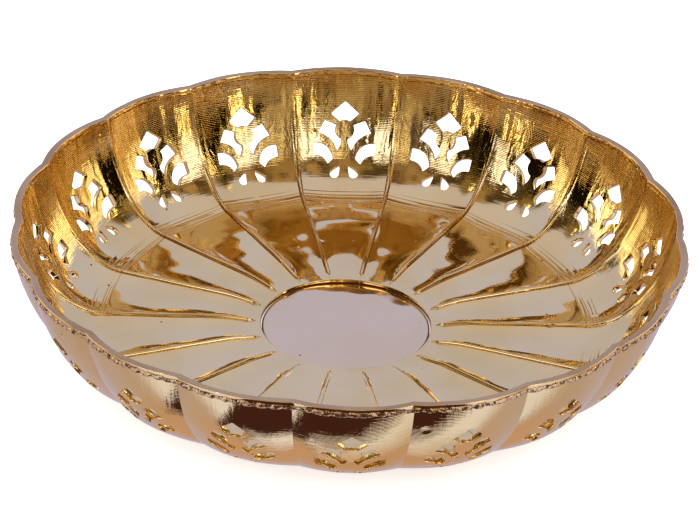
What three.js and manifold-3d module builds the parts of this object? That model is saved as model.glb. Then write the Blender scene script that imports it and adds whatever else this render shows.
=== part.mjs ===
// Lotus offering plate: a round brass bowl of scalloped, pierced petals.
// Units are millimetres, +Z is up, and the origin is the centre of the foot's resting face.
import * as THREE from 'three';
import { mergeVertices } from 'three/addons/utils/BufferGeometryUtils.js';
import Module from 'manifold-3d';

const wasm = await Module();
wasm.setup();

// Overall sizes.
const RIM_RADIUS = 140;          // axis to the outermost point of a lobe
const BOWL_DEPTH = 46.3;         // rim down to the floor
const FOOT_HEIGHT = 3.5;         // table up to the underside of the floor
const WALL = 2.8;                // thickness of the petals
const GAP = 0.3;                 // clearance at every joint
const ROUND_SIDES = 48;          // facets round the disc and the foot
const LOBE_STEPS = 6;            // facets along one lobe of the rim
const BEND_STEPS = 3;            // facets round the bend between floor and wall
const MERGE_DISTANCE = 1e-4;     // points closer than this are one point

// Petals.
const PETAL_COUNT = 18;
const RIM_LEAN = THREE.MathUtils.degToRad(8);       // outward lean from upright at the rim
const WALL_RADIUS = 75;          // long curve of the wall, rim to corner
const CORNER_RADIUS = 27;        // tighter bend between wall and floor
const LOBE_BULGE = 2.5;          // middle of a lobe beyond its two creases
const RIB_HEIGHT = 2.2;          // seam rib above the floor
const RIB_HALF_WIDTH = 1.8;
const RIB_START = 3.2;           // bare floor between the centre disc and a rib's end
const RIB_TAPER = 7;             // length over which a rib rises to its full height
const RIB_FADE = 0.25;           // share of the rib's height that is left under the rim

// Rim, centre and foot.
const BAND_HEIGHT = 2.4;
const BEAD_HEIGHT = 1.6;
const BEAD_THICKNESS = 0.8;
const BEAD_TOP_THICKNESS = 0.56;
const DISC_RADIUS = 35.2;
const DISC_RECESS = 1.2;         // disc's face below the floor
const DISC_THICKNESS = 1.8;
const FOOT_RADIUS = 72;
const FOOT_WIDTH = 5;
const FOOT_EDGE = 0.8;           // chamfer on the foot's lower edges

// Pierced motif, in millimetres from the centre of its boss: x across the petal, y towards the rim.
const BOSS_BELOW_RIM = 26.9;     // measured along the wall
const BOSS_RADIUS = 4.3;
const CUT_MARGIN = 1.5;          // how far a cutter passes both faces of the wall
const DIAMOND = [[0, 12.5], [-6.1, 7.1]];
const SIDE_LEAF = [[8.85, 4.1], [11.65, -1.2], [6.2, -4.1], [3.0, -9.0], [1.25, -5.6]];
const CURVED_LEAF = [[13.9, -5.6], [8.2, -7.2], [4.9, -12.9], [7.3, -15.1], [9.4, -11.8], [13.8, -10.9]];
const DROP_TIP = [1.9, -16.0];
const DROP_CENTRE = [4.25, -19.7];
const DROP_RADIUS = 1.95;
const BOSS_TOP_ARC = [118, 62];  // degrees anticlockwise from the x axis
const BOSS_SIDE_ARC = [-72, 28];
const DROP_ARC = [160, 400];
const BOSS_ARC_STEPS = 2;
const DROP_ARC_STEPS = 3;

const FLOOR_Z = FOOT_HEIGHT + WALL;
const RIM_Z = FLOOR_Z + BOWL_DEPTH;
const HALF_ANGLE = Math.PI / PETAL_COUNT;
const RIM_INNER_RADIUS = RIM_RADIUS - WALL / Math.cos(RIM_LEAN);

// The wall's lean where its long curve meets the corner, which the two radii and the depth set.
const CORNER_RISE = BOWL_DEPTH - CORNER_RADIUS + WALL_RADIUS * Math.sin(RIM_LEAN);
const CORNER_LEAN = Math.asin(CORNER_RISE / (WALL_RADIUS - CORNER_RADIUS));
const WALL_REACH = WALL_RADIUS * (Math.cos(RIM_LEAN) - Math.cos(CORNER_LEAN));
const FLOOR_RADIUS = RIM_INNER_RADIUS - WALL_REACH - CORNER_RADIUS * Math.cos(CORNER_LEAN);

// Distances along the inner face from the centre disc.
const PETAL_START = DISC_RADIUS + GAP;
const BEND_START = FLOOR_RADIUS - PETAL_START;
const WALL_START = BEND_START + CORNER_RADIUS * (Math.PI / 2 - CORNER_LEAN);
const RIM_DISTANCE = WALL_START + WALL_RADIUS * (CORNER_LEAN - RIM_LEAN);

const polishedBrass = new THREE.MeshStandardMaterial({ color: 0xd8a548, roughness: 0.16, metalness: 1 });
const satinBrass = new THREE.MeshStandardMaterial({ color: 0xc9a58c, roughness: 0.38, metalness: 1 });
const roughBrass = new THREE.MeshStandardMaterial({ color: 0x8a6236, roughness: 0.65, metalness: 1 });

// A point of the bowl's inner face on the middle line of a petal, a distance along from the disc.
function profile(distance) {
  if (distance <= BEND_START) {
    return { r: PETAL_START + distance, z: FLOOR_Z, normalR: 0, normalZ: 1 };
  }
  if (distance <= WALL_START) {
    const turn = (distance - BEND_START) / CORNER_RADIUS;
    return {
      r: FLOOR_RADIUS + CORNER_RADIUS * Math.sin(turn),
      z: FLOOR_Z + CORNER_RADIUS * (1 - Math.cos(turn)),
      normalR: -Math.sin(turn),
      normalZ: Math.cos(turn),
    };
  }
  const lean = CORNER_LEAN - (distance - WALL_START) / WALL_RADIUS;
  return {
    r: RIM_INNER_RADIUS - WALL_RADIUS * (Math.cos(RIM_LEAN) - Math.cos(lean)),
    z: RIM_Z - WALL_RADIUS * (Math.sin(lean) - Math.sin(RIM_LEAN)),
    normalR: -Math.cos(lean),
    normalZ: Math.sin(lean),
  };
}

// The lobes are flat on the floor and swell through the bend to their full bulge at the rim.
function lobeBulge(distance) {
  return LOBE_BULGE * THREE.MathUtils.smoothstep(distance, BEND_START, WALL_START);
}

// The seam rib rises from nothing near the disc and fades up the wall.
function ribHeight(distance) {
  const rise = THREE.MathUtils.clamp((distance - RIB_START) / RIB_TAPER, 0, 1);
  const fade = THREE.MathUtils.smoothstep(distance, BEND_START, RIM_DISTANCE);
  return RIB_HEIGHT * rise * (1 - (1 - RIB_FADE) * fade);
}

// A point of a petal: along the profile, across the petal by angle, and above the inner face.
function petalPoint(distance, angle, height) {
  const base = profile(distance);
  const lift = height + lobeBulge(distance) * (angle / HALF_ANGLE) ** 2;
  const r = base.r + base.normalR * lift;
  return new THREE.Vector3(r * Math.cos(angle), r * Math.sin(angle), base.z + base.normalZ * lift);
}

// A point of the upper wall at a given level: the lean there follows from the level and the lift.
function wallPoint(z, angle, height) {
  const lift = height + LOBE_BULGE * (angle / HALF_ANGLE) ** 2;
  const centreZ = RIM_Z + WALL_RADIUS * Math.sin(RIM_LEAN);
  const lean = Math.asin((centreZ - z) / (WALL_RADIUS - lift));
  return petalPoint(WALL_START + WALL_RADIUS * (CORNER_LEAN - lean), angle, height);
}

function geometryFrom(points, triangles) {
  const geometry = new THREE.BufferGeometry();
  geometry.setAttribute('position', new THREE.Float32BufferAttribute(points.flatMap((p) => p.toArray()), 3));
  geometry.setIndex(triangles.flat());
  return geometry;
}

function toSolid(geometry) {
  const bare = geometry.clone();
  bare.deleteAttribute('normal');
  bare.deleteAttribute('uv');
  const merged = mergeVertices(bare, MERGE_DISTANCE);
  return new wasm.Manifold(new wasm.Mesh({
    numProp: 3,
    vertProperties: new Float32Array(merged.attributes.position.array),
    triVerts: new Uint32Array(merged.index.array),
  }));
}

function fromSolid(solid) {
  const mesh = solid.getMesh();
  const geometry = new THREE.BufferGeometry();
  geometry.setAttribute('position', new THREE.BufferAttribute(new Float32Array(mesh.vertProperties), 3));
  geometry.setIndex(new THREE.BufferAttribute(new Uint32Array(mesh.triVerts), 1));
  geometry.computeVertexNormals();
  return geometry;
}

// The closed shell between two matching grids of points, one above the other.
function shellBetween(upper, lower) {
  const rows = upper.length;
  const columns = upper[0].length;
  const points = [...upper.flat(), ...lower.flat()];
  const top = (i, j) => i * columns + j;
  const under = (i, j) => rows * columns + i * columns + j;
  const triangles = [];
  const quad = (a, b, c, d) => triangles.push([a, b, c], [a, c, d]);
  for (let i = 0; i < rows - 1; i += 1) {
    for (let j = 0; j < columns - 1; j += 1) {
      quad(top(i, j), top(i + 1, j), top(i + 1, j + 1), top(i, j + 1));
      quad(under(i, j), under(i, j + 1), under(i + 1, j + 1), under(i + 1, j));
    }
    quad(top(i, 0), under(i, 0), under(i + 1, 0), top(i + 1, 0));
    quad(top(i, columns - 1), top(i + 1, columns - 1), under(i + 1, columns - 1), under(i, columns - 1));
  }
  for (let j = 0; j < columns - 1; j += 1) {
    quad(top(0, j), top(0, j + 1), under(0, j + 1), under(0, j));
    quad(top(rows - 1, j), under(rows - 1, j), under(rows - 1, j + 1), top(rows - 1, j + 1));
  }
  return geometryFrom(points, triangles);
}

// One petal without its holes: floor, bend and wall, with half a rib along each side.
function plainPetal() {
  const topZ = RIM_Z - BAND_HEIGHT - GAP;
  const floorStations = [0, RIB_START, RIB_START + RIB_TAPER, BEND_START];
  const bendStations = Array.from({ length: BEND_STEPS - 1 }, (_, i) => (
    THREE.MathUtils.lerp(BEND_START, WALL_START, (i + 1) / BEND_STEPS)
  ));
  const topDistance = RIM_DISTANCE - (RIM_Z - topZ) / Math.cos(RIM_LEAN);
  const midWall = (WALL_START + topDistance) / 2;
  const rows = [...floorStations, ...bendStations, WALL_START, midWall, topDistance];
  const innerFace = [];
  const outerFace = [];
  for (const distance of rows) {
    const isTop = distance === topDistance;
    const place = (angle, height) => (
      isTop ? wallPoint(topZ, angle, height) : petalPoint(distance, angle, height)
    );
    const radius = profile(distance).r;
    const edge = HALF_ANGLE - GAP / 2 / (radius - LOBE_BULGE);
    const ribFoot = edge - RIB_HALF_WIDTH / radius;
    const angles = [-edge, -ribFoot, -ribFoot / 2, 0, ribFoot / 2, ribFoot, edge];
    innerFace.push(angles.map((angle) => place(angle, Math.abs(angle) === edge ? ribHeight(distance) : 0)));
    outerFace.push(angles.map((angle) => place(angle, -WALL)));
  }
  return shellBetween(innerFace, outerFace);
}

// A point (x, y) of the motif, laid on the petal at a height above its inner face.
function motifPoint([x, y], height) {
  const distance = RIM_DISTANCE - BOSS_BELOW_RIM + y;
  return petalPoint(distance, x / profile(distance).r, height);
}

// A cutter through the wall along its own normals.
function cutter(shape) {
  const isClockwise = THREE.ShapeUtils.isClockWise(shape.map(([x, y]) => new THREE.Vector2(x, y)));
  const outline = isClockwise ? [...shape].reverse() : shape;
  const count = outline.length;
  const inner = outline.map((point) => motifPoint(point, CUT_MARGIN));
  const outer = outline.map((point) => motifPoint(point, -WALL - CUT_MARGIN));
  const flat = outline.map(([x, y]) => new THREE.Vector2(x, y));
  const caps = THREE.ShapeUtils.triangulateShape(flat, []);
  const triangles = [];
  for (const [a, b, c] of caps) {
    triangles.push([c, b, a], [a + count, b + count, c + count]);
  }
  for (let i = 0; i < count; i += 1) {
    const next = (i + 1) % count;
    triangles.push([i, next, next + count], [i, next + count, i + count]);
  }
  return toSolid(geometryFrom([...inner, ...outer], triangles));
}

function arc([x, y], radius, [fromDegrees, toDegrees], steps) {
  return Array.from({ length: steps + 1 }, (_, i) => {
    const angle = THREE.MathUtils.degToRad(THREE.MathUtils.lerp(fromDegrees, toDegrees, i / steps));
    return [x + radius * Math.cos(angle), y + radius * Math.sin(angle)];
  });
}

function mirrored(outline) {
  return outline.map(([x, y]) => [-x, y]);
}

// The seven openings: a diamond over the boss, and a side leaf, a curved leaf and a drop on each side.
function motifOutlines() {
  const [, [cornerX, cornerY]] = DIAMOND;
  const boss = (span) => arc([0, 0], BOSS_RADIUS, span, BOSS_ARC_STEPS);
  const diamond = [...DIAMOND, ...boss(BOSS_TOP_ARC), [-cornerX, cornerY]];
  const sideLeaf = [...SIDE_LEAF, ...boss(BOSS_SIDE_ARC)];
  const drop = [DROP_TIP, ...arc(DROP_CENTRE, DROP_RADIUS, DROP_ARC, DROP_ARC_STEPS)];
  const oneSide = [sideLeaf, CURVED_LEAF, drop];
  return [diamond, ...oneSide, ...oneSide.map(mirrored)];
}

// A closed ring that follows the lobes, swept from a section of [level, height above inner face].
function lobedRing(section) {
  const steps = PETAL_COUNT * LOBE_STEPS;
  const sides = section.length;
  const points = [];
  const triangles = [];
  for (let i = 0; i < steps; i += 1) {
    const local = ((i % LOBE_STEPS) / LOBE_STEPS * 2 - 1) * HALF_ANGLE;
    const turn = Math.floor(i / LOBE_STEPS) * 2 * HALF_ANGLE;
    for (const [z, height] of section) {
      points.push(wallPoint(z, local, height).applyAxisAngle(new THREE.Vector3(0, 0, 1), turn));
    }
  }
  for (let i = 0; i < steps; i += 1) {
    for (let j = 0; j < sides; j += 1) {
      const a = i * sides + j;
      const b = i * sides + (j + 1) % sides;
      const c = ((i + 1) % steps) * sides + (j + 1) % sides;
      const d = ((i + 1) % steps) * sides + j;
      triangles.push([a, c, b], [a, d, c]);
    }
  }
  return geometryFrom(points, triangles);
}

function rimBand() {
  const under = RIM_Z - BAND_HEIGHT;
  return lobedRing([[RIM_Z, 0], [under, 0], [under, -WALL], [RIM_Z, -WALL]]);
}

function rimBead() {
  const top = RIM_Z - BAND_HEIGHT - GAP;
  const back = -WALL - GAP;
  const section = [[top, back], [top - BEAD_HEIGHT, back]];
  section.push([top - BEAD_HEIGHT / 2, back - BEAD_THICKNESS], [top, back - BEAD_TOP_THICKNESS]);
  return lobedRing(section);
}

function lathe(section) {
  const outline = section.map(([r, z]) => new THREE.Vector2(r, z));
  return new THREE.LatheGeometry(outline, ROUND_SIDES).rotateX(Math.PI / 2);
}

function centreDisc() {
  const top = FLOOR_Z - DISC_RECESS;
  const under = top - DISC_THICKNESS;
  return lathe([[0, under], [DISC_RADIUS, under], [DISC_RADIUS, top], [0, top]]);
}

function footRing() {
  const inner = FOOT_RADIUS - FOOT_WIDTH;
  const top = FOOT_HEIGHT - GAP;
  const section = [[inner + FOOT_EDGE, 0], [FOOT_RADIUS - FOOT_EDGE, 0], [FOOT_RADIUS, FOOT_EDGE]];
  section.push([FOOT_RADIUS, top], [inner, top], [inner, FOOT_EDGE], [inner + FOOT_EDGE, 0]);
  return lathe(section);
}

function part(name, geometry, material) {
  const mesh = new THREE.Mesh(geometry, material);
  mesh.name = name;
  return mesh;
}

const plate = new THREE.Group();

const cutters = motifOutlines().map(cutter);
const pierced = cutters.reduce((solid, hole) => solid.subtract(hole), toSolid(plainPetal()));
const petalGeometry = fromSolid(pierced);
for (let i = 0; i < PETAL_COUNT; i += 1) {
  const petal = part(`petal_${String(i + 1).padStart(2, '0')}`, petalGeometry, polishedBrass);
  petal.rotation.z = Math.PI / 2 + i * 2 * HALF_ANGLE;
  plate.add(petal);
}

const rim = new THREE.Group();
rim.rotation.z = Math.PI / 2;
rim.add(part('rim_band', rimBand(), satinBrass));
rim.add(part('rim_solder_bead', rimBead(), roughBrass));
plate.add(rim);

plate.add(part('centre_disc', centreDisc(), polishedBrass));
plate.add(part('foot_ring', footRing(), polishedBrass));

export default plate;
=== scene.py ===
import math

import bmesh
import bpy
import numpy as np
from mathutils import Matrix, Vector, geometry


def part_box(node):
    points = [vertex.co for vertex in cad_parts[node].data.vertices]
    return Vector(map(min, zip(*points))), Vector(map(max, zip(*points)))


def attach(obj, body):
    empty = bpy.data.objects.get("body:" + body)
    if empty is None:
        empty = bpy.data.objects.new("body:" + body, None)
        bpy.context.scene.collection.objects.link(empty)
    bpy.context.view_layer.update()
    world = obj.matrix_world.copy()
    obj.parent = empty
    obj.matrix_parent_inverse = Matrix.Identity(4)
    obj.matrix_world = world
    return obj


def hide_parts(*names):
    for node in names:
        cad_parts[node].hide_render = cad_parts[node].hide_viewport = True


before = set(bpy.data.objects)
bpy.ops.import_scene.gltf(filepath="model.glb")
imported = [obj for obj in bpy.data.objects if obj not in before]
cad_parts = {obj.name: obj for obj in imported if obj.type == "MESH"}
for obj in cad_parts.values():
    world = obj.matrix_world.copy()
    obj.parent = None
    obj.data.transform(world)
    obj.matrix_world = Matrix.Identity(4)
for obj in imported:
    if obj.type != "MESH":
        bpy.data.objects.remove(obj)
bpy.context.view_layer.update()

# ---------------------------------------------------------------- petals
# Eighteen cast brass petals make the bowl: each runs from the centre disc over the floor, round a
# bend and up a wall that is pierced with a lotus motif. They are brazed edge to edge along raised
# seam ribs, turned inside on a lathe and polished to a mirror.
mm = 0.001
petal_nodes = sorted(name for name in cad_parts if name.startswith("petal_"))
half_angle = math.pi / len(petal_nodes)
petal_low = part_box(petal_nodes[0])[0]
disc_low, disc_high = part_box("centre_disc")
rim_low, rim_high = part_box("rim_band")

wall = 2.8 * mm
rim_lean = math.radians(8)
wall_radius = 75 * mm
corner_radius = 27 * mm
lobe_bulge = 2.5 * mm
floor_z = petal_low.z + wall
rim_z = rim_high.z
band_z = rim_low.z
disc_radius = (disc_high.x - disc_low.x) / 2
petal_start = disc_radius + 0.3 * mm
rim_inner_radius = (rim_high.y - rim_low.y) / 2 - wall / math.cos(rim_lean)
corner_rise = rim_z - floor_z - corner_radius + wall_radius * math.sin(rim_lean)
corner_lean = math.asin(corner_rise / (wall_radius - corner_radius))
wall_reach = wall_radius * (math.cos(rim_lean) - math.cos(corner_lean))
floor_radius = rim_inner_radius - wall_reach - corner_radius * math.cos(corner_lean)
bend_start = floor_radius - petal_start
wall_start = bend_start + corner_radius * (math.pi / 2 - corner_lean)
rim_along = wall_start + wall_radius * (corner_lean - rim_lean)
curve_z = rim_z + wall_radius * math.sin(rim_lean)


def smooth(t):
    t = np.clip(t, 0, 1)
    return t * t * (3 - 2 * t)


def bowl_profile(along):
    """Radius, level and normal of the inner face at a distance along it from the centre disc."""
    turn = np.clip((along - bend_start) / corner_radius, 0, math.pi / 2 - corner_lean)
    lean = corner_lean - (along - wall_start) / wall_radius
    on_wall = along > wall_start
    on_floor = np.minimum(along - bend_start, 0)
    r = np.where(on_wall, rim_inner_radius - wall_radius * (math.cos(rim_lean) - np.cos(lean)),
                 floor_radius + on_floor + corner_radius * np.sin(turn))
    z = np.where(on_wall, curve_z - wall_radius * np.sin(lean),
                 floor_z + corner_radius * (1 - np.cos(turn)))
    tilt = np.where(on_wall, math.pi / 2 - lean, turn)
    return r, z, -np.sin(tilt), np.cos(tilt)


# The seam ribs: a narrow round-nosed crest, and either side of it the petal's floor sweeps up to
# it in a wide soft hollow. Both fade up the wall to a crease under the rim, and the crests are
# worn lower over the front of the bowl.
crest_height = 1.1 * mm
crest_half_width = 0.95 * mm
crest_squareness = 3.5
crest_nose = 2.2 * mm
crest_left_on_wall = 0.07
rib_start = 3.4 * mm
rib_fade = 30 * mm
crest_fade_start = 4 * mm
hollow_rise = 1.55 * mm
hollow_taper = 18 * mm
hollow_steepness = 2.6
worn_share = 0.82
worn_side = math.radians(-90)
worn_spread = math.radians(42)


def rib_lift(along, share, from_seam, angle):
    """How far the rib lifts the inner face: share runs from -1 to 1 between the petal's seams."""
    nose = np.clip((along - rib_start) / crest_nose, 0, 1)
    up = smooth((along - bend_start) / (rim_along - bend_start))
    half_width = crest_half_width * (1 + 0.5 * up) * (0.35 + 0.65 * nose)
    sink = smooth((along - bend_start - crest_fade_start) / rib_fade)
    crest = crest_height * np.sqrt(1 - (1 - nose) ** 2) * (1 - (1 - crest_left_on_wall) * sink)
    crest = crest * np.clip(1 - (np.abs(from_seam) / half_width) ** crest_squareness, 0, 1)
    off_side = (angle - worn_side + math.pi) % (2 * math.pi) - math.pi
    crest = crest * (1 - worn_share * np.exp(-(off_side / worn_spread) ** 6))
    fade = 1 - smooth((along - bend_start) / rib_fade)
    hollow = hollow_rise * smooth(along / hollow_taper) * fade
    return crest + hollow * np.abs(share) ** hollow_steepness


# Each petal's floor also sinks by its own amount between the disc and the bend. These are the
# slopes at the disc, in degrees, from the petal at the back round by the left and the front.
floor_slopes = (-0.6, 3.4, 1.2, 0.4, 0.2, 0.5, 0.1, -0.4, 0.3,
                0.5, 0.0, 0.4, -0.3, 0.6, 0.5, 1.0, 1.8, 3.6)


def floor_sink(along, slope):
    """A shallow sag that is nothing at the disc and at the bend, with the slope given at both."""
    share = np.clip(along / bend_start, 0, 1)
    return -math.radians(slope) * bend_start * share * (1 - share)


# Tool grooves that the lathe left where the floor starts to turn up, in millimetres.
groove_places = (0.0, 1.5, 2.6, 4.7, 6.0, 8.6)
groove_depths = (0.10, 0.05, 0.08, 0.06, 0.10, 0.05)
groove_half_width = 0.32


def groove_lift(along, angle):
    """The grooves wander in and out a little on their way round the bowl."""
    lift = 0
    for place, depth in zip(groove_places, groove_depths):
        wander = 0.35 * np.sin(angle + place) + 0.12 * np.sin(7 * angle + 3 * place)
        offset = (along - bend_start) / mm - place - wander
        lift = lift - depth * mm * np.exp(-(offset / groove_half_width) ** 2)
    return lift


# The slight hollows that hand polishing leaves, as a sum of fixed waves through space, and the
# shallow upright flutes that the mop leaves on the wall, as waves round the bowl.
hand = np.random.default_rng(18)
wave_ways = hand.normal(size=(14, 3))
wave_ways /= np.linalg.norm(wave_ways, axis=1)[:, None]
wave_numbers = 2 * math.pi / (hand.uniform(9, 42, 14) * mm)
wave_starts = hand.uniform(0, 2 * math.pi, 14)
wave_slope = 0.006
extra_wave_on_wall = 1.6
flute_numbers = hand.uniform(60, 330, 12)
flute_starts = hand.uniform(0, 2 * math.pi, 12)
flute_drifts = hand.uniform(-90, 90, 12)
flute_slope = 0.022
flute_loss_outside = 0.8


def hand_wave(points, depth):
    """How far the polishing lifts the face: depth runs from 0 on the inner face to 1 outside."""
    phase = points @ (wave_ways * wave_numbers[:, None]).T + wave_starts
    on_wall = smooth((points[..., 2] - floor_z - 3 * mm) / (18 * mm))
    waves = (np.sin(phase) * (wave_slope / wave_numbers)).sum(axis=-1)
    waves = waves * (1 + extra_wave_on_wall * on_wall)
    angle = np.arctan2(points[..., 1], points[..., 0])[..., None]
    turns = np.round(flute_numbers) * angle + flute_starts + flute_drifts * points[..., 2:3]
    flutes = (np.sin(turns) * flute_slope * rim_inner_radius / flute_numbers).sum(axis=-1)
    return waves + flutes * on_wall * (1 - flute_loss_outside * depth)


def along_at_level(z, lift):
    """How far along the wall a point lifted off the inner face comes to a given level."""
    return wall_start + wall_radius * (corner_lean - np.arcsin((curve_z - z) / (wall_radius - lift)))


# The petals end a hair below the rim band, and the lobed wall is stretched over its last
# millimetres to meet that level. The outer face takes its polishing waves from lower down.
petal_top_z = band_z - 0.02 * mm
petal_top = along_at_level(petal_top_z, 0)
top_zone = 12 * mm
outer_wave_drop = 50 * mm


def petal_surface(across, along, depth, turn, slope):
    """A point of the petal: depth runs from 0 on the inner face to 1 on the outer face."""
    r, z, normal_r, normal_z = bowl_profile(along)
    share = across / (r * half_angle)
    lobe = lobe_bulge * share ** 2
    level_fit = along_at_level(petal_top_z, lobe - wall * depth) - petal_top
    along = along + smooth((along - petal_top + top_zone) / top_zone) * level_fit
    r, z, normal_r, normal_z = bowl_profile(along)
    angle = turn + share * half_angle
    lift = lobe * smooth((along - bend_start) / (wall_start - bend_start)) - wall * depth
    ridge = rib_lift(along, share, (1 - np.abs(share)) * r * half_angle, angle)
    ridge = ridge + groove_lift(along, angle)
    ridge = ridge + floor_sink(along, slope) * (1 - share ** 4)
    lift = lift + ridge * (1 - np.clip(depth * 4, 0, 1))
    wave_z = z - outer_wave_drop * depth
    spot = np.stack([r * np.cos(angle), r * np.sin(angle), wave_z], axis=-1)
    lift = lift + hand_wave(spot, depth)
    r = r + normal_r * lift
    return np.stack([r * np.cos(angle), r * np.sin(angle), z + normal_z * lift], axis=-1)


def petal_normal(across, along, *place):
    """The surface's own normal, from four points close by, so that the net doesn't shade it."""
    step = 0.05 * mm
    over = petal_surface(across + step, along, *place) - petal_surface(across - step, along, *place)
    up = petal_surface(across, along + step, *place) - petal_surface(across, along - step, *place)
    normal = np.cross(up, over)
    normal /= np.linalg.norm(normal, axis=-1)[:, None]
    inward = np.where(place[0][:, None] < 0.5, 1, -1)
    return normal * inward


# The pierced motif, in millimetres from the centre of its boss: x across the petal, y to the rim.
boss_below_rim = 26.9
boss_radius = 4.3
corner_round = 0.55


def arc(centre, radius, start, end, steps):
    turns = np.radians(np.linspace(start, end, steps))
    return [(centre[0] + radius * math.cos(t), centre[1] + radius * math.sin(t)) for t in turns]


def bend(start, control, end, steps):
    """The inner points of a curve that leaves start towards control and arrives at end from it."""
    shares = np.linspace(0, 1, steps + 2)[1:-1]
    ends = [np.array(p, float) for p in (start, control, end)]
    return [tuple((1 - t) ** 2 * ends[0] + 2 * t * (1 - t) * ends[1] + t * t * ends[2]) for t in shares]


def soften(outline, corners, radius):
    """The outline with its named corners rounded off."""
    result = []
    for i, point in enumerate(outline):
        if i not in corners:
            result.append(point)
            continue
        here = np.array(point)
        before = np.array(outline[i - 1]) - here
        after = np.array(outline[(i + 1) % len(outline)]) - here
        start = here + before / np.linalg.norm(before) * min(radius, np.linalg.norm(before) * 0.45)
        end = here + after / np.linalg.norm(after) * min(radius, np.linalg.norm(after) * 0.45)
        result += [tuple(start), *bend(start, here, end, 2), tuple(end)]
    return result


diamond = [(0, 12.5), (-6.1, 7.1), *arc((0, 0), boss_radius, 122, 58, 9), (6.1, 7.1)]
diamond = soften(diamond, (0, 1, 2, 10, 11), corner_round)

leaf_out, leaf_low, leaf_tip = (8.85, 4.1), (11.65, -1.2), (3.1, -9.0)
side_leaf = [leaf_out, leaf_low, *bend(leaf_low, (5.4, -2.6), leaf_tip, 7), leaf_tip,
             *bend(leaf_tip, (1.5, -6.6), (1.25, -4.9), 3)]
boss_from = len(side_leaf)
side_leaf += arc((0, 0), boss_radius, -70, 28, 11)
side_leaf = soften(side_leaf, (0, 1, 9, boss_from, boss_from + 10), corner_round)

curl_top, curl_low, curl_tip, curl_end = (13.9, -5.6), (4.9, -12.7), (7.2, -15.1), (13.8, -10.9)
curved_leaf = [curl_top, *bend(curl_top, (6.2, -5.4), curl_low, 9), curl_low, curl_tip,
               *bend(curl_tip, (8.8, -10.9), curl_end, 7), curl_end]
curved_leaf = soften(curved_leaf, (0, 10, 11, 19), corner_round)

drop_tip, drop_centre, drop_radius = (1.9, -15.9), (4.2, -19.7), 1.95
drop = [drop_tip, *bend(drop_tip, (1.8, -17.6), (2.25, -19.5), 3),
        *arc(drop_centre, drop_radius, 178, 395, 15), *bend((5.8, -18.6), (4.0, -16.8), drop_tip, 4)]
drop = soften(drop, (0,), 0.35)

right_side = [side_leaf, curved_leaf, drop]
left_side = [[(-x, y) for x, y in reversed(outline)] for outline in right_side]


def anticlockwise(outline):
    x, y = np.array(outline, float).T
    area = (x * np.roll(y, -1) - np.roll(x, -1) * y).sum()
    return outline if area > 0 else outline[::-1]


hole_edge = 0.28


def widened(outline):
    """The outline set outwards, where the hole's rounded edge meets the face of the petal."""
    points = np.array(outline, float)
    ahead = np.roll(points, -1, axis=0) - np.roll(points, 1, axis=0)
    outward = np.stack([ahead[:, 1], -ahead[:, 0]], axis=1)
    return points + outward / np.linalg.norm(outward, axis=1)[:, None] * hole_edge


boss_along = rim_along / mm - boss_below_rim
holes = [np.array(anticlockwise(o), float) for o in [diamond, *right_side, *left_side]]
hole_faces = [widened(o) + (0, boss_along) for o in holes]
hole_walls = [o + (0, boss_along) for o in holes]


def inside(points, outline):
    """Which points lie inside a closed outline, by counting the edges to one side of each."""
    x, y = points[:, 0, None], points[:, 1, None]
    ax, ay = outline.T
    bx, by = np.roll(outline, -1, axis=0).T
    crossing = (ay > y) != (by > y)
    with np.errstate(divide="ignore", invalid="ignore"):
        at = ax + (y - ay) / (by - ay) * (bx - ax)
    return (crossing & (x < at)).sum(axis=1) % 2 == 1


def far_from(points, outline, least):
    """Which points lie farther than least from every edge of a closed outline."""
    a = outline
    run = np.roll(outline, -1, axis=0) - a
    share = ((points[:, None] - a) * run).sum(-1) / (run * run).sum(-1)
    nearest = a + np.clip(share, 0, 1)[..., None] * run
    return np.linalg.norm(points[:, None] - nearest, axis=-1).min(axis=1) > least


# One flat net of points and triangles, in millimetres, serves every petal's inner and outer face.
# Its points stand closer together at the seams, in the tool grooves and round the holes.
seam = 0.02
edge_round = 0.4
hole_clearance = 0.3
seam_steps = np.array([0, 0.25, 0.48, 0.66, 0.8, 0.9, 1.0, 1.2, 1.5, 1.9, 2.4, 3.0, 3.8])
end_along = petal_top / mm
bend_mm = bend_start / mm
rib_nose_end = 12
grooves_start = bend_mm - 2
grooves_end = bend_mm + 11
stations = np.concatenate([
    np.arange(edge_round, rib_nose_end, 0.8), np.arange(rib_nose_end, grooves_start, 1.6),
    np.arange(grooves_start, grooves_end, 0.3), np.arange(grooves_end, end_along - 0.4, 1.05),
    [end_along]])
net = []
side_columns = []
left_edge = []
right_edge = []
for station in stations:
    half_width = bowl_profile(np.array(station * mm))[0] * half_angle / mm - seam
    steps = seam_steps[seam_steps < half_width * 0.7]
    inner = np.linspace(steps[-1] - half_width, half_width - steps[-1], 19)[1:-1]
    columns = np.concatenate([steps - half_width, inner, (half_width - steps)[::-1]])
    left_edge.append((columns[0], station))
    right_edge.append((columns[-1], station))
    row = [(column, station) for column in columns[1:-1]]
    if station == stations[0]:
        first_row = row
    elif station == stations[-1]:
        last_row = row
    else:
        side_columns.append(row[:len(steps) - 1] + row[1 - len(steps):])
        net += row[len(steps) - 1:1 - len(steps)]
net = np.array(net)
outline = np.array(left_edge[::-1] + first_row + right_edge + last_row[::-1])
for hole in hole_faces:
    net = net[~inside(net, hole)]
    net = net[far_from(net, hole, hole_clearance)]

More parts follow.
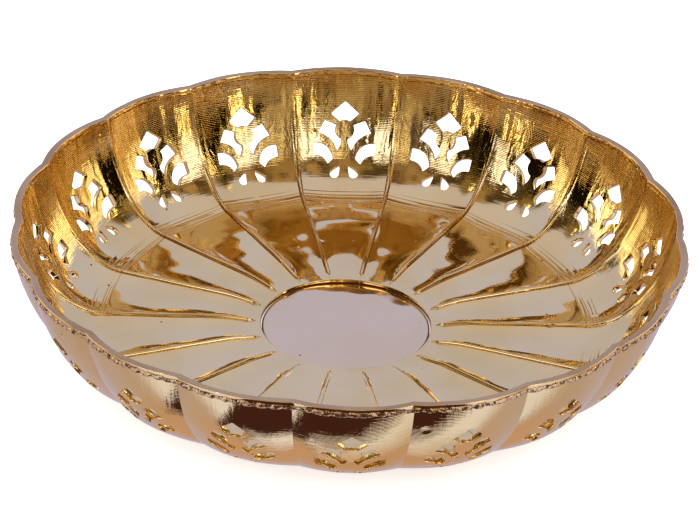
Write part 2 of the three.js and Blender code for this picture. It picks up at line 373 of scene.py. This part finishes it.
loops = [outline, *hole_faces]
flat_points = [tuple(p) for loop in loops for p in loop]
edges = []
for loop in loops:
    first = len(edges)
    edges += [(first + i, first + (i + 1) % len(loop)) for i in range(len(loop))]
side_start = len(flat_points)
side_count = len(side_columns[0])
for i in range(len(side_columns) - 1):
    row_start = side_start + i * side_count
    edges += [(row_start + j, row_start + side_count + j) for j in range(side_count)]
flat_points += [point for row in side_columns for point in row]
flat_points += [tuple(p) for p in net]
made = geometry.delaunay_2d_cdt([Vector(p) for p in flat_points], edges, [], 0, 1e-7)
place_of = {given: i for i, givens in enumerate(made[3]) for given in givens}
net_points = np.array([tuple(p) for p in made[0]])
triangles = np.array([f for f in made[2] if len(f) == 3])
middles = net_points[triangles].mean(axis=1)
keep = np.ones(len(triangles), bool)
for hole in hole_faces:
    keep &= ~inside(middles, hole)
triangles = triangles[keep]

# The walls between the faces: round the holes, and along the petal's own edges. Each step is how
# far it still stands out towards the face's rounded edge, and its depth.
ring_steps = ((0.35, 0.035), (0.0, 0.12), (0.0, 0.88), (0.35, 0.965))
outline_walls = outline.copy()
outline_walls[outline[:, 1] == stations[0], 1] = 0
wall_points = []
wall_depths = []
wall_faces = []
face_count = len(net_points)
given = 0
for face_loop, wall_loop in zip(loops, [outline_walls, *hole_walls]):
    count = len(face_loop)
    rings = [[place_of[given + i] for i in range(count)]]
    given += count
    for set_out, depth in ring_steps:
        start = 2 * face_count + len(wall_points)
        wall_points += [tuple(w + (f - w) * set_out) for f, w in zip(face_loop, wall_loop)]
        wall_depths += [depth] * count
        rings.append(list(range(start, start + count)))
    rings.append([face_count + i for i in rings[0]])
    for upper, lower in zip(rings, rings[1:]):
        for i in range(count):
            j = (i + 1) % count
            wall_faces.append((upper[i], upper[j], lower[j], lower[i]))
petal_flat = np.concatenate([net_points, net_points, np.array(wall_points)]) * mm
petal_depth = np.concatenate([np.zeros(face_count), np.ones(face_count), np.array(wall_depths)])
petal_faces = [tuple(int(i) for i in t) for t in triangles]
petal_faces += [tuple(int(i) + face_count for i in t[::-1]) for t in triangles]
petal_faces += [tuple(int(i) for i in f) for f in wall_faces]


def new_piece(name, points, faces, material):
    """A smooth-shaded mesh object in the scene, with its faces turned outwards."""
    mesh = bpy.data.meshes.new(name)
    mesh.from_pydata([tuple(p) for p in points], [], faces)
    work = bmesh.new()
    work.from_mesh(mesh)
    bmesh.ops.recalc_face_normals(work, faces=work.faces)
    work.to_mesh(mesh)
    work.free()
    mesh.shade_smooth()
    mesh.materials.append(material)
    piece = bpy.data.objects.new(name, mesh)
    bpy.context.scene.collection.objects.link(piece)
    return piece


class Nodes:
    """A material or world's node tree, built by short calls."""

    def __init__(self, tree):
        self.tree = tree

    def add(self, kind, inputs=None, **settings):
        node = self.tree.nodes.new("ShaderNode" + kind)
        for key, value in settings.items():
            setattr(node, key, value)
        for key, value in (inputs or {}).items():
            if isinstance(value, bpy.types.NodeSocket):
                self.tree.links.new(value, node.inputs[key])
            else:
                node.inputs[key].default_value = value
        return node

    def math(self, operation, *values):
        return self.add("Math", dict(enumerate(values)), operation=operation).outputs[0]

    def plus(self, first, second):
        return self.math("ADD", first, second)

    def times(self, first, *others):
        for other in others:
            first = self.math("MULTIPLY", first, other)
        return first

    def from_axis(self, x, y):
        return self.math("SQRT", self.plus(self.times(x, x), self.times(y, y)))

    def stretched(self, parts, scales):
        """A vector of three parts, each multiplied by its scale."""
        scaled = [self.times(part, scale) for part, scale in zip(parts, scales)]
        return self.add("CombineXYZ", dict(enumerate(scaled))).outputs[0]

    def between(self, value, low, high):
        """0 below low, 1 above high and a smooth step between."""
        inputs = {"Value": value, "From Min": low, "From Max": high}
        return self.add("MapRange", inputs, interpolation_type="SMOOTHSTEP").outputs["Result"]

    def mix(self, share, first, second):
        """The first colour where share is 0 and the second where it is 1."""
        node = self.add("Mix", {0: share, 6: first, 7: second}, data_type="RGBA")
        return node.outputs[2]

    def noise(self, vector, scale, detail=3.0, roughness=0.5, distortion=0.0):
        inputs = {"Vector": vector, "Scale": scale, "Detail": detail, "Roughness": roughness,
                  "Distortion": distortion}
        return self.add("TexNoise", inputs).outputs["Fac"]

    def cells(self, vector, scale, channel):
        """Scattered cells: one chance from 0 to 1 for each, and the distance from its middle."""
        node = self.add("TexVoronoi", {"Vector": vector, "Scale": scale, "Randomness": 1.0})
        chance = self.add("SeparateColor", {0: node.outputs["Color"]}).outputs[channel]
        return chance, node.outputs["Distance"]


def brass_material(name, bright, deep, gloss, mark_height, mark_scale, pit_share, wall_marks=1.0):
    """Polished brass: bright and deep tints drift over it, turning marks ring it, pits dot it.

    With wall_marks over 1 the turning marks stand that many times higher on the bowl's wall, and
    the wall gets its scored lines, streaks, mop runs and dimples too.
    """
    material = bpy.data.materials.new(name)
    material.use_nodes = True
    nodes = Nodes(material.node_tree)
    link = material.node_tree.links.new
    shader = material.node_tree.nodes["Principled BSDF"]
    shader.inputs["Metallic"].default_value = 1.0
    place = nodes.add("TexCoord").outputs["Object"]
    x, y, z = nodes.add("SeparateXYZ", {0: place}).outputs
    path = nodes.plus(nodes.from_axis(x, y), z)
    round_bowl = (x, y, path)
    patches = nodes.noise(place, 26.0, detail=5.0, roughness=0.6)
    colour = nodes.mix(nodes.between(patches, 0.36, 0.72), bright, deep)

    chance, off_middle = nodes.cells(place, 260.0, 0)
    chosen = nodes.math("LESS_THAN", chance, pit_share)
    pit = nodes.times(chosen, nodes.math("SUBTRACT", 1.0, nodes.between(off_middle, 0.06, 0.17)))
    pit_colour = (deep[0] * 0.25, deep[1] * 0.2, deep[2] * 0.18, 1)

    marks = nodes.noise(nodes.stretched(round_bowl, (45.0, 45.0, mark_scale)), 1.0,
                        detail=2.0, roughness=0.6)
    on_wall = nodes.between(z, 0.009, 0.022)
    climb = nodes.times(on_wall, mark_height * (wall_marks - 1))
    height = nodes.times(marks, nodes.plus(climb, mark_height))

    if wall_marks > 1:
        # Lines that the lathe scored every millimetre, a little unevenly: they stand as fine ridges on
        # both faces, and on the inner face painted shade darkens their grooves in colour.
        line_pitch = 1.0 * mm
        line_height = 0.01 * mm
        groove_shade_colour = (0.34, 0.20, 0.055, 1)
        shake = nodes.noise(nodes.stretched(round_bowl, (20.0, 20.0, 70.0)), 1.0, detail=2.0)
        phase = nodes.plus(nodes.times(path, 2 * math.pi / line_pitch), nodes.times(shake, 9.0))
        wave = nodes.math("SINE", phase)
        facing = nodes.add("SeparateXYZ", {0: nodes.add("NewGeometry").outputs["Normal"]}).outputs
        outward = nodes.plus(nodes.times(facing[0], x), nodes.times(facing[1], y))
        inside_face = nodes.between(outward, 0.004, -0.004)
        scored = nodes.times(nodes.between(z, 0.014, 0.026), inside_face,
                             nodes.between(patches, 0.30, 0.55))
        groove = nodes.times(nodes.between(wave, 0.1, 0.9), nodes.times(scored, 0.5))
        # Painted shade: the base colour darkens along the grooves of the scored lines on the inner
        # face.
        colour = nodes.mix(groove, colour, groove_shade_colour)
        ridged = nodes.times(on_wall, nodes.between(patches, 0.30, 0.60))
        height = nodes.plus(height, nodes.times(nodes.times(wave, line_height), ridged))

        # Streaks that run round the bowl where the wall starts.
        streak_height = 0.07 * mm
        at_bend = nodes.times(nodes.between(z, 0.0075, 0.012), nodes.between(z, 0.030, 0.020))
        streaks = nodes.noise(nodes.stretched(round_bowl, (30.0, 30.0, 520.0)), 1.0,
                              detail=3.0, roughness=0.65)
        height = nodes.plus(height, nodes.times(streaks, streak_height, at_bend))

        # Upright runs that the polishing mop left on the wall, fainter outside.
        run_height = 0.16 * mm
        fainter = nodes.times(nodes.between(outward, 0.0, 0.02), 0.55)
        polished = nodes.times(on_wall, nodes.math("SUBTRACT", 1.0, fainter))
        down = nodes.add("VectorMath", {0: place, 1: (260.0, 260.0, 34.0)}, operation="MULTIPLY")
        runs = nodes.noise(down.outputs[0], 1.0, detail=3.0, roughness=0.55, distortion=1.4)
        height = nodes.plus(height, nodes.times(runs, polished, run_height))

        # A few small dimples.
        dimple_share = 0.07
        dimple_depth = 0.22 * mm
        chance, off_middle = nodes.cells(place, 120.0, 1)
        dimple = nodes.times(nodes.math("LESS_THAN", chance, dimple_share),
                             nodes.between(off_middle, 0.34, 0.0))
        height = nodes.math("SUBTRACT", height, nodes.times(dimple, dimple_depth))

    pit_depth = 0.12 * mm
    height = nodes.math("SUBTRACT", height, nodes.times(pit, pit_depth))
    bump = nodes.add("Bump", {"Height": height, "Strength": 1.0, "Distance": 1.0})
    link(bump.outputs[0], shader.inputs["Normal"])
    link(nodes.mix(pit, colour, pit_colour), shader.inputs["Base Color"])

    smoothest, roughest = gloss
    fine = nodes.noise(place, 900.0, detail=2.0)
    spread = nodes.times(nodes.between(patches, 0.3, 0.75), roughest - smoothest)
    rough = nodes.plus(nodes.plus(spread, smoothest), nodes.times(fine, 0.03))
    link(nodes.plus(rough, nodes.times(pit, 0.4)), shader.inputs["Roughness"])
    return material


petal_brass = brass_material("petal_polished_brass", (0.88, 0.645, 0.29, 1), (0.84, 0.585, 0.225, 1),
                             (0.02, 0.05), 0.000006, 1000.0, 0.03, wall_marks=4.5)

for number, node in enumerate(petal_nodes):
    turn = math.pi / 2 + 2 * half_angle * number
    where = (petal_flat[:, 0], petal_flat[:, 1], petal_depth, turn, floor_slopes[number])
    points = petal_surface(*where)
    normals = petal_normal(*where)
    petal = new_piece(f"{node}_casting", points, petal_faces, petal_brass)
    on_faces = petal_depth * (1 - petal_depth) == 0
    own = np.array([tuple(v.normal) for v in petal.data.vertices])
    shading = np.where(on_faces[:, None], normals, own)
    petal.data.normals_split_custom_set_from_vertices([tuple(n) for n in shading])
    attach(petal, "root")
    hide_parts(node)

# ---------------------------------------------------------------- rim band
# A flat brass strip, 2.4 mm high, that follows the lobes and closes the petals' top edges. It is
# brazed on, then ground flat, so its top is satin and its edges are only just broken.
band_edge = 0.32 * mm
band_side_lift = 0.6 * mm
band_outer_depth = 1.02
grind_height = 0.05 * mm
grind_drop = 0.1 * mm
steps_per_lobe = 36


def rim_point(level, depth, angle):
    """A point of the rim on the level given: depth 0 is the inner face and 1 is the outer face."""
    lobe_number = np.round((angle - math.pi / 2) / (2 * half_angle))
    local = angle - math.pi / 2 - lobe_number * 2 * half_angle
    share = local / half_angle
    lift = lobe_bulge * share ** 2 - wall * depth
    along = along_at_level(level, lift)
    r, z, normal_r, normal_z = bowl_profile(along)
    ridge = rib_lift(along, share, (1 - np.abs(share)) * r * half_angle, angle)
    wave_z = z - outer_wave_drop * depth
    spot = np.stack([r * np.cos(angle), r * np.sin(angle), wave_z], axis=-1)
    lift = lift + ridge * (1 - np.clip(depth * 4, 0, 1)) + hand_wave(spot, min(depth, 1))
    r = r + normal_r * lift
    return np.stack([r * np.cos(angle), r * np.sin(angle), np.broadcast_to(level, r.shape)], axis=-1)


def swept_ring(name, sections, material):
    """A closed ring from rows of points, one row for each point of its section."""
    rows, count = sections.shape[:2]
    faces = []
    for i in range(rows):
        for j in range(count):
            a, b = i * count + j, i * count + (j + 1) % count
            c, d = (i + 1) % rows * count + (j + 1) % count, (i + 1) % rows * count + j
            faces.append((a, b, c, d))
    return new_piece(name, sections.reshape(-1, 3), faces, material)


def round_steps(steps):
    """The angles of a ring that has so many steps to each petal, from the back round."""
    return math.pi / 2 + np.arange(len(petal_nodes) * steps) * 2 * half_angle / steps


# The strip's section, as pairs of a level and a depth through the wall: up the inner side, over
# the top, which has both its edges rounded, and down the outer side to a small chamfer.
round_angles = round_steps(steps_per_lobe)
edge_share = band_edge / wall
band_section = [(band_z, 0.0), (band_z + band_side_lift, 0.0), (rim_z - band_edge, 0.0)]
for turn in (30, 60):
    turn = math.radians(turn)
    level = rim_z - band_edge * (1 - math.sin(turn))
    band_section.append((level, edge_share * (1 - math.cos(turn))))
band_section += [(rim_z, edge_share), (rim_z, edge_share + 0.04), (rim_z, 0.35), (rim_z, 0.65)]
band_section += [(rim_z, 0.98 - edge_share), (rim_z, band_outer_depth - edge_share)]
for turn in (60, 30):
    turn = math.radians(turn)
    level = rim_z - band_edge * (1 - math.sin(turn))
    band_section.append((level, band_outer_depth - edge_share * (1 - math.cos(turn))))
band_section += [(rim_z - band_edge, band_outer_depth), (band_z + band_side_lift, 1.03),
                 (band_z + 0.25 * mm, 1.0), (band_z, 0.9)]
grind = grind_height * (np.sin(5 * round_angles) + 0.6 * np.sin(23 * round_angles + 1)
                        + 0.5 * np.sin(61 * round_angles))
rows = []
for level, depth in band_section:
    row = rim_point(level, depth, round_angles)
    row[:, 2] += np.where(level > rim_z - 1.5 * mm, grind - grind_drop, 0)
    rows.append(row)

rim_satin = brass_material("rim_ground_brass", (0.63, 0.41, 0.185, 1), (0.47, 0.285, 0.12, 1),
                           (0.28, 0.42), 0.00002, 900.0, 0.05)
ground_colour = (0.89, 0.62, 0.27, 1)
nodes = Nodes(rim_satin.node_tree)
shader = rim_satin.node_tree.nodes["Principled BSDF"]
facing = nodes.add("SeparateXYZ", {0: nodes.add("NewGeometry").outputs["Normal"]}).outputs[2]
ground_face = nodes.between(facing, 0.75, 0.95)
satin_colour = shader.inputs["Base Color"].links[0].from_socket
satin_rough = shader.inputs["Roughness"].links[0].from_socket
link = rim_satin.node_tree.links.new
link(nodes.mix(ground_face, ground_colour, satin_colour), shader.inputs["Base Color"])
link(nodes.times(satin_rough, nodes.plus(nodes.times(ground_face, 0.8), 0.2)),
     shader.inputs["Roughness"])
band = swept_ring("rim_band_strip", np.array(rows), rim_satin)
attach(band, "root")
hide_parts("rim_band")

# ---------------------------------------------------------------- solder bead
# The brazing fillet that holds the band: a rough, lumpy cord of brass along the outside of the
# rim, left unpolished, with bright high spots and dark flux in its pits.
bead_low, bead_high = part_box("rim_solder_bead")
bead_radius = (bead_high.z - bead_low.z) / 2
bead_middle = (bead_low.z + bead_high.z) / 2 + 0.9 * mm
bead_tallness = 1.35
lump_height = 0.05
lump_limit = 0.26
bead_angles = round_steps(72)
bead_rng = np.random.default_rng(7)
lump_ways = bead_rng.normal(size=(26, 3))
lump_ways /= np.linalg.norm(lump_ways, axis=1)[:, None]
lump_numbers = 2 * math.pi / (bead_rng.uniform(0.9, 5.0, 26) * mm)
lump_starts = bead_rng.uniform(0, 2 * math.pi, 26)


def lumps(points):
    """A sum of fixed waves through space, in which the short waves are low."""
    phase = points @ (lump_ways * lump_numbers[:, None]).T + lump_starts
    return (np.sin(phase) * lump_numbers[0] / lump_numbers).sum(axis=-1)


rows = []
for turn in np.radians(np.arange(0, 360, 30)):
    level = bead_middle + bead_radius * bead_tallness * math.sin(turn)
    depth = 1.0 + (0.12 + 0.55 * math.cos(turn)) * bead_radius / wall
    row = rim_point(level, depth, bead_angles)
    outward = row * (1, 1, 0) / np.linalg.norm(row * (1, 1, 0), axis=1)[:, None]
    rough = np.clip(lumps(row) * lump_height, -lump_limit, lump_limit) * mm
    row += (outward * math.cos(turn) + np.array([0, 0, math.sin(turn)])) * rough[:, None]
    rows.append(row)

spot_colour = (0.90, 0.62, 0.30, 1)
flux_colour = (0.16, 0.08, 0.04, 1)
bead_brass = bpy.data.materials.new("rim_rough_braze")
bead_brass.use_nodes = True
nodes = Nodes(bead_brass.node_tree)
shader = bead_brass.node_tree.nodes["Principled BSDF"]
shader.inputs["Metallic"].default_value = 1.0
place = nodes.add("TexCoord").outputs["Object"]
grain = nodes.noise(place, 700.0, detail=4.0, roughness=0.7)
flux = nodes.between(grain, 0.47, 0.60)
link = bead_brass.node_tree.links.new
link(nodes.mix(flux, spot_colour, flux_colour), shader.inputs["Base Color"])
link(nodes.plus(0.14, nodes.times(flux, 0.4)), shader.inputs["Roughness"])
grain_height = nodes.times(grain, 0.25 * mm)
bump = nodes.add("Bump", {"Height": grain_height, "Strength": 1.0, "Distance": 1.0})
link(bump.outputs[0], shader.inputs["Normal"])
bead = swept_ring("rim_braze_bead", np.array(rows), bead_brass)
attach(bead, "root")
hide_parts("rim_solder_bead")

# ---------------------------------------------------------------- centre disc
# A round plate let in 1.2 mm below the floor, faced flat on the lathe and buffed. Its edge is
# broken with a fine chamfer, and a hair-line gap parts it from the petals. A dark ring painted on
# its face just inside the edge stands in for the shade at that joint.
disc_edge = 0.3 * mm
disc_gap = 0.42 * mm
buff_start = 27.5 * mm
buff_slope = 0.095
buff_ripple = 0.012 * mm


def turned(name, section, sides, material, level_of=None):
    """A turned solid: the section runs from the axis, or closes on itself off the axis."""
    angles = np.arange(sides) * 2 * math.pi / sides
    points = []
    rings = []
    for r, z in section:
        if r == 0:
            rings.append([len(points)] * sides)
            points.append((0, 0, z))
            continue
        rings.append(list(range(len(points), len(points) + sides)))
        level = level_of(r, z, angles) if level_of else np.full(sides, z)
        ring = np.stack([r * np.cos(angles), r * np.sin(angles), level], axis=1)
        points += [tuple(p) for p in ring]
    closed = section[0][0] != 0
    faces = []
    for a, b in zip(rings, rings[1:] + ([rings[0]] if closed else [])):
        for j in range(sides):
            k = (j + 1) % sides
            corners = [a[j], a[k], b[k], b[j]]
            faces.append(tuple(dict.fromkeys(corners)))
    return new_piece(name, points, faces, material)


def buffed_level(r, z, angles):
    """The buffed plate's level: a slight ripple, and an uneven roll-off towards its edge."""
    level = z + buff_ripple * np.sin(2 * angles + r / mm * 0.3)
    level = level + buff_ripple * 0.6 * np.cos(3 * angles - r / mm * 0.2)
    start = (buff_start + 1.6 * mm * np.sin(3 * angles + 1) + 1.1 * mm * np.sin(7 * angles)
             + 0.6 * mm * np.sin(13 * angles))
    past = np.maximum(r - start, 0)
    return level - buff_slope * past ** 2 / (past + 1.2 * mm)


disc_reach = petal_start - disc_gap
disc_section = [(0, disc_high.z)]
disc_section += [(r * mm, disc_high.z) for r in (4, 9, 14, 18, 21, *np.arange(23, 34.4, 0.6))]
disc_section += [(disc_reach - disc_edge, disc_high.z),
                 (disc_reach - disc_edge * 0.3, disc_high.z - disc_edge * 0.3),
                 (disc_reach, disc_high.z - disc_edge), (disc_reach, disc_low.z + disc_edge),
                 (disc_reach - disc_edge, disc_low.z), (disc_reach * 0.5, disc_low.z),
                 (0, disc_low.z)]
disc_brass = brass_material("disc_faced_brass", (0.85, 0.625, 0.338, 1), (0.82, 0.59, 0.305, 1),
                            (0.05, 0.09), 0.000004, 700.0, 0.035)
# Painted shade: a dark brown ring on the top face, just inside the chamfer, where the disc meets the
# petals.
edge_shade_colour = (0.20, 0.11, 0.05, 1)
nodes = Nodes(disc_brass.node_tree)
shader = disc_brass.node_tree.nodes["Principled BSDF"]
x, y, z = nodes.add("SeparateXYZ", {0: nodes.add("TexCoord").outputs["Object"]}).outputs
painted_edge_shade = nodes.between(nodes.from_axis(x, y), disc_reach - 0.95 * mm, disc_reach - 0.45 * mm)
disc_colour = shader.inputs["Base Color"].links[0].from_socket
link = disc_brass.node_tree.links.new
link(nodes.mix(painted_edge_shade, disc_colour, edge_shade_colour), shader.inputs["Base Color"])
disc = turned("centre_disc_plate", disc_section, 180, disc_brass, level_of=buffed_level)
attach(disc, "root")
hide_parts("centre_disc")

# ---------------------------------------------------------------- foot ring
# A low turned ring brazed under the floor. Its resting face is flat, its lower edges are
# chamfered and two fine tool grooves run round its outside.
foot_low, foot_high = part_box("foot_ring")
foot_radius = (foot_high.x - foot_low.x) / 2
foot_width = 5 * mm
foot_chamfer = 0.8 * mm
foot_groove = 0.15 * mm
foot_inner = foot_radius - foot_width
foot_top = petal_low.z - 0.02 * mm
foot_section = [(foot_inner + foot_chamfer, 0), (foot_radius - foot_chamfer, 0)]
for turn in (20, 45, 70):
    turn = math.radians(turn)
    foot_section.append((foot_radius - foot_chamfer * (1 - math.sin(turn)),
                         foot_chamfer * (1 - math.cos(turn))))
foot_section.append((foot_radius, foot_chamfer))
for level in (1.5 * mm, 2.2 * mm):
    foot_section += [(foot_radius, level - foot_groove), (foot_radius - foot_groove, level),
                     (foot_radius, level + foot_groove)]
foot_section += [(foot_radius, foot_top), (foot_inner, foot_top), (foot_inner, foot_chamfer),
                 (foot_inner + foot_chamfer * 0.3, foot_chamfer * 0.3)]
foot_brass = brass_material("foot_turned_brass", (0.80, 0.56, 0.27, 1), (0.70, 0.45, 0.20, 1),
                            (0.16, 0.28), 0.00003, 1300.0, 0.05)
foot = turned("foot_ring_turned", foot_section, 240, foot_brass)
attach(foot, "root")
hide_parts("foot_ring")

# ---------------------------------------------------------------- studio
# The bowl stands on a plain white table under a plain white sky and one large soft lamp. Mirror
# brass shows only what it reflects, so glossy rays alone see a made-up room in place of the sky
# and the table: lit and dark walls, soft boxes, a dark ceiling and the stand of the camera.
table_size = 1.6
table_mesh = bpy.data.meshes.new("studio_table")
corners = [(-table_size, -table_size, 0), (table_size, -table_size, 0),
           (table_size, table_size, 0), (-table_size, table_size, 0)]
table_mesh.from_pydata(corners, [], [(0, 1, 2, 3)])
table = bpy.data.objects.new("studio_table", table_mesh)
bpy.context.scene.collection.objects.link(table)
table_paint = bpy.data.materials.new("table_white")
table_paint.use_nodes = True
nodes = Nodes(table_paint.node_tree)
shader = table_paint.node_tree.nodes["Principled BSDF"]
shader.inputs["Roughness"].default_value = 0.9
shader.inputs["Emission Color"].default_value = (1.0, 0.99, 0.99, 1)
shader.inputs["Emission Strength"].default_value = 0.5
weave = nodes.noise(nodes.add("TexCoord").outputs["Object"], 60.0, detail=3.0)
table_colour = nodes.mix(weave, (0.93, 0.93, 0.93, 1), (0.96, 0.96, 0.96, 1))
table_paint.node_tree.links.new(table_colour, shader.inputs["Base Color"])
table_mesh.materials.append(table_paint)
table.visible_glossy = False

# The room is painted on the sky by direction: x to the right, y away from the camera, z up.
back_sky = (0.51, 0.58, 1.04, 1)
high_sky = (0.56, 0.60, 0.94, 1)
warm_ceiling = (0.42, 0.32, 0.21, 1)
dark_beam = (0.09, 0.066, 0.04, 1)
overhead_shade = (0.15, 0.115, 0.08, 1)
dark_room = (0.012, 0.008, 0.004, 1)
dim_room = (0.24, 0.19, 0.11, 1)
lit_room = (4.0, 3.6, 2.5, 1)
low_shades = (0.14, 0.11, 0.08, 1), (0.46, 0.38, 0.28, 1)
high_shades = (0.045, 0.038, 0.04, 1), (0.26, 0.22, 0.22, 1)
shade_light = (1.3, 1.2, 0.9, 1)
soft_box = (1.60, 1.75, 2.40, 1)
lit_side = (1.85, 1.80, 1.45, 1)
near_table = (0.72, 0.80, 1.28, 1)
far_table = (0.48, 0.44, 0.58, 1)
warm_table = (0.53, 0.39, 0.37, 1)
camera_stand = (0.068, 0.031, 0.034, 1)

world = bpy.data.worlds.new("studio_sky")
bpy.context.scene.world = world
world.use_nodes = True
nodes = Nodes(world.node_tree)
sky = world.node_tree.nodes["Background"]
way = nodes.add("TexCoord").outputs["Generated"]
unit_way = nodes.add("VectorMath", {0: way}, operation="NORMALIZE").outputs[0]
x, y, z = nodes.add("SeparateXYZ", {0: unit_way}).outputs
cloud = nodes.noise(way, 3.0, detail=4.0, roughness=0.6)
stripe_way = nodes.add("VectorMath", {0: way, 1: (3.6, 3.6, 1.2)}, operation="MULTIPLY").outputs[0]
stripes = nodes.noise(stripe_way, 1.0, detail=6.0, roughness=0.62, distortion=0.6)
frayed = nodes.math("SUBTRACT", nodes.noise(way, 7.0, detail=5.0, roughness=0.7), 0.5)
fray = nodes.times(frayed, 0.16)
level = nodes.plus(z, fray)
aside = nodes.math("ABSOLUTE", nodes.plus(x, fray))


def panel(*edges):
    """1 on a panel of the room: each edge is a measure, its value outside and its value inside."""
    return nodes.times(*[nodes.between(*edge) for edge in edges])


# The sky behind the bowl, and on the camera's side a dark wall with lit windows.
sky_part = nodes.mix(nodes.between(z, 0.55, 0.95), back_sky, high_sky)
room = nodes.mix(nodes.between(stripes, 0.43, 0.49), dark_room, dim_room)
room = nodes.mix(nodes.between(stripes, 0.595, 0.635), room, lit_room)
sky_part = nodes.mix(panel((level, 0.82, 0.74), (nodes.plus(y, fray), 0.26, 0.12)), sky_part, room)

# A beamed ceiling over the camera's side, shaded in the middle.
ceiling = nodes.mix(nodes.between(cloud, 0.42, 0.56), warm_ceiling, dark_beam)
sky_part = nodes.mix(panel((y, -0.07, -0.15), (level, 0.68, 0.73)), sky_part, ceiling)
overhead = panel((y, 0.10, -0.50), (nodes.math("ABSOLUTE", x), 0.75, 0.20), (z, 0.60, 0.72))
sky_part = nodes.mix(nodes.times(overhead, 0.3), sky_part, overhead_shade)

# The dim wall straight behind the camera: warmer low down, with a few lights.
drift = nodes.between(stripes, 0.43, 0.56)
shaded = nodes.mix(nodes.between(level, 0.36, 0.28), nodes.mix(drift, *high_shades),
                   nodes.mix(drift, *low_shades))
shaded = nodes.mix(nodes.between(stripes, 0.60, 0.64), shaded, shade_light)
behind_camera = panel((aside, 0.36, 0.28), (y, -0.3, -0.45), (level, 0.74, 0.70))
sky_part = nodes.mix(behind_camera, sky_part, shaded)

# Dark gaps at the far left and right, lit walls low at the sides, and a soft box either side of
# the camera.
gap = panel((aside, 0.80, 0.84), (y, -0.02, -0.07), (level, 0.60, 0.54))
sky_part = nodes.mix(gap, sky_part, dark_room)
side_wall = panel((y, -0.06, -0.01), (y, 0.62, 0.50), (level, 0.34, 0.26))
sky_part = nodes.mix(side_wall, sky_part, lit_side)
box = panel((aside, 0.33, 0.38), (aside, 0.72, 0.66), (y, -0.2, -0.3), (level, 0.36, 0.40),
            (level, 0.68, 0.65))
sky_part = nodes.mix(box, sky_part, soft_box)

# Below the bowl: the table, warmer straight below and behind, and the dark camera stand, whose
# rounded end leans a little to the left.
flat = nodes.from_axis(x, y)
ahead = nodes.math("DIVIDE", nodes.times(y, -1.0), nodes.math("MAXIMUM", flat, 0.001))
table_part = nodes.mix(nodes.between(ahead, 0.05, 0.45), far_table, near_table)
table_part = nodes.mix(panel((z, -0.80, -0.95), (y, -0.10, 0.12)), table_part, warm_table)
leaning = nodes.plus(x, 0.11)
stand_end = nodes.plus(nodes.times(nodes.times(leaning, leaning), 0.65), -0.982)
beside = nodes.math("ABSOLUTE", nodes.plus(x, -0.02))
stand = panel((beside, 0.475, 0.43),
              (nodes.plus(z, nodes.times(fray, 0.5)), stand_end, nodes.plus(stand_end, 0.01)),
              (y, 0.02, -0.03))
table_part = nodes.mix(stand, table_part, camera_stand)

reflected = nodes.mix(nodes.between(z, -0.03, 0.01), table_part, sky_part)
glossy = nodes.add("LightPath").outputs["Is Glossy Ray"]
world.node_tree.links.new(nodes.mix(glossy, (1.0, 1.0, 1.0, 1), reflected), sky.inputs["Color"])
sky.inputs["Strength"].default_value = 1.0

lamp_data = bpy.data.lights.new("soft_overhead", "AREA")
lamp_data.shape = "DISK"
lamp_data.size = 1.2
lamp_data.energy = 9
lamp = bpy.data.objects.new("soft_overhead", lamp_data)
lamp.location = (0.5, 0.5, 1.6)
lamp.rotation_euler = (-lamp.location).to_track_quat("-Z", "Y").to_euler()
lamp.visible_glossy = False
bpy.context.scene.collection.objects.link(lamp)

# The camera stands well back with a long lens, a little left of square on, looking down at 30
# degrees, and it is rolled slightly, as a hand-held camera is.
camera_height = math.radians(30.2)
camera_side = math.radians(-91.8)
camera_roll = math.radians(-2.4)
crease_radius = (rim_high.y - rim_low.y) / 2 - lobe_bulge
camera_distance = 13.712 * crease_radius
back_off = Vector((math.cos(camera_height) * math.cos(camera_side),
                   math.cos(camera_height) * math.sin(camera_side), math.sin(camera_height)))
target = Vector((0, 0, rim_z))
forward = -back_off
right = forward.cross(Vector((0, 0, 1))).normalized()
up = right.cross(forward)
turned_right = right * math.cos(camera_roll) - up * math.sin(camera_roll)
turned_up = right * math.sin(camera_roll) + up * math.cos(camera_roll)
camera_data = bpy.data.cameras.new("studio_camera")
camera_data.sensor_width = 36
camera_data.lens = 235.1314
camera_data.shift_x = 0.0002
camera_data.shift_y = -0.0502429
camera_data.clip_start = 0.05
camera = bpy.data.objects.new("studio_camera", camera_data)
camera.matrix_world = Matrix.Translation(target + back_off * camera_distance) @ Matrix(
    (turned_right, turned_up, back_off)).transposed().to_4x4()
bpy.context.scene.collection.objects.link(camera)
bpy.context.scene.camera = camera
bpy.context.scene.view_settings.view_transform = "Standard"
bpy.context.scene.view_settings.look = "Medium High Contrast"
